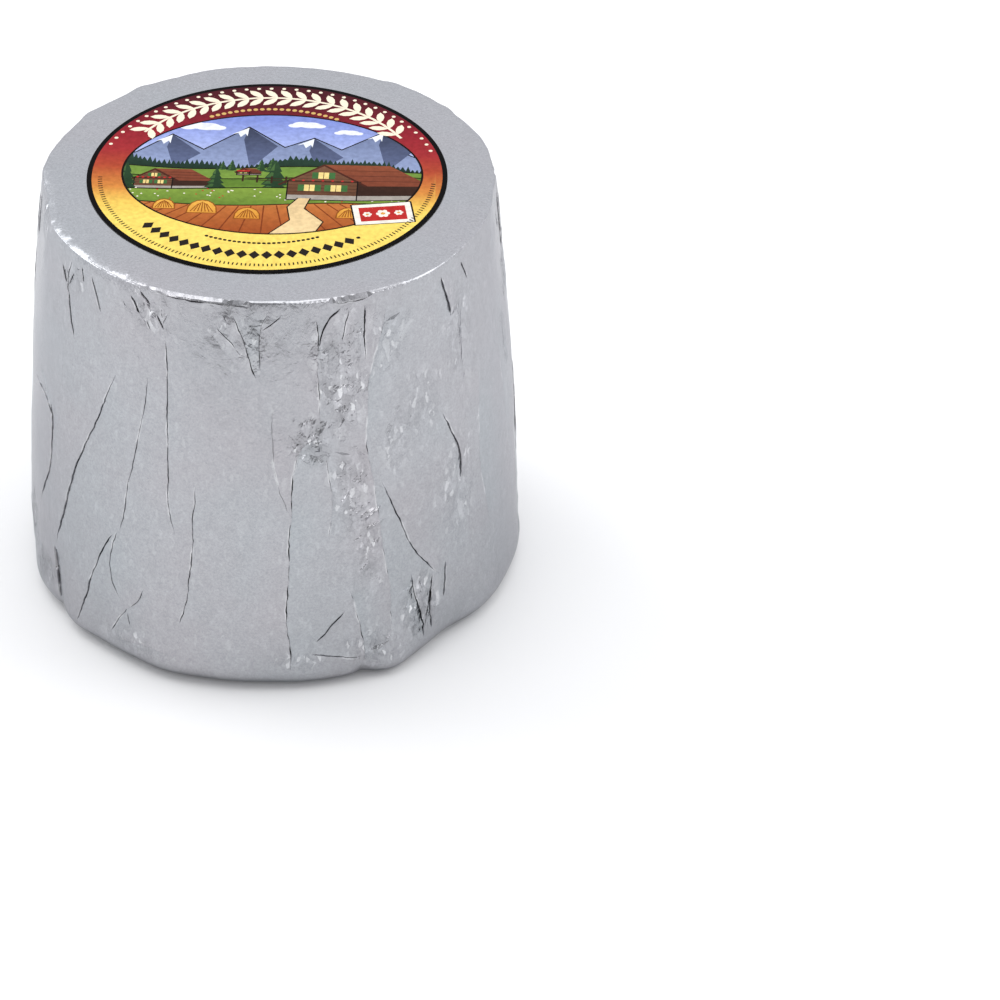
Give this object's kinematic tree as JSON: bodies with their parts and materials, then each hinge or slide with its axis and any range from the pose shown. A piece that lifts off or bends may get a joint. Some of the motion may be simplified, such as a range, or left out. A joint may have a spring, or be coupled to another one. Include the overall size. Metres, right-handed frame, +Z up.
{
  "type": "tete de moine cheese",
  "caption": "Small tall wheel of hard cheese wrapped in pleated silver foil, with a round paper label on its top.",
  "frame": {"origin": "middle of the flat base, on the surface the wheel stands on", "axes": "+Z up along the wheel's axis, -Y towards the front of the label's picture, +X to the right"},
  "size_m": [0.1076, 0.1074, 0.0946],
  "materials": {
    "foil": "satin",
    "label_paper": "satin"
  },
  "bodies": {
    "root": {"foil_wrapped_cheese": "foil", "label": "label_paper"}
  },
  "joints": []
}
